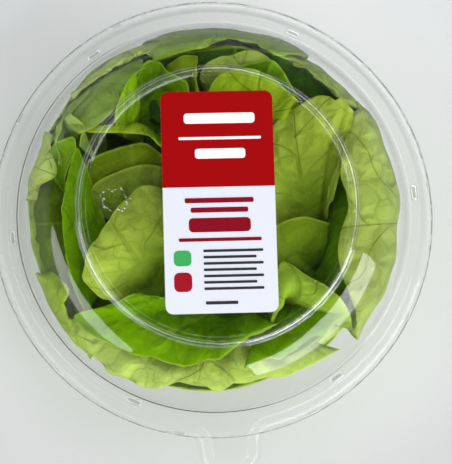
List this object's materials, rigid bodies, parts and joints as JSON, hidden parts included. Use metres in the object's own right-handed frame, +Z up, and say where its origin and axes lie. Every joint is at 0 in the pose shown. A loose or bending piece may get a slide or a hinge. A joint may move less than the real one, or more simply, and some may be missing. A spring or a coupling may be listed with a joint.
{
  "type": "packed butterhead lettuce",
  "caption": "Head of butterhead lettuce in a clear round bowl with a clear domed lid, a lift tab and a plain paper label.",
  "frame": {"origin": "middle of the flat base of the bowl, on the surface it stands on", "axes": "+Z up out of the lid; -Y towards the lift tab; +X to the right seen from the tab's side"},
  "size_m": [0.2, 0.2162, 0.0923],
  "materials": {
    "clear_bowl": "clear, smooth and glossy",
    "clear_lid": "clear, smooth and glossy",
    "paper": "semi-gloss paper sticker, red field above and white field below",
    "leaf": "soft waxy leaf with pale veins and a lighter underside",
    "stem": "moist cream cut stem"
  },
  "bodies": {
    "root": {"bowl": "clear_bowl", "lid": "clear_lid", "label": "paper", "lettuce_leaves": "leaf", "lettuce_stem": "stem"}
  },
  "joints": []
}
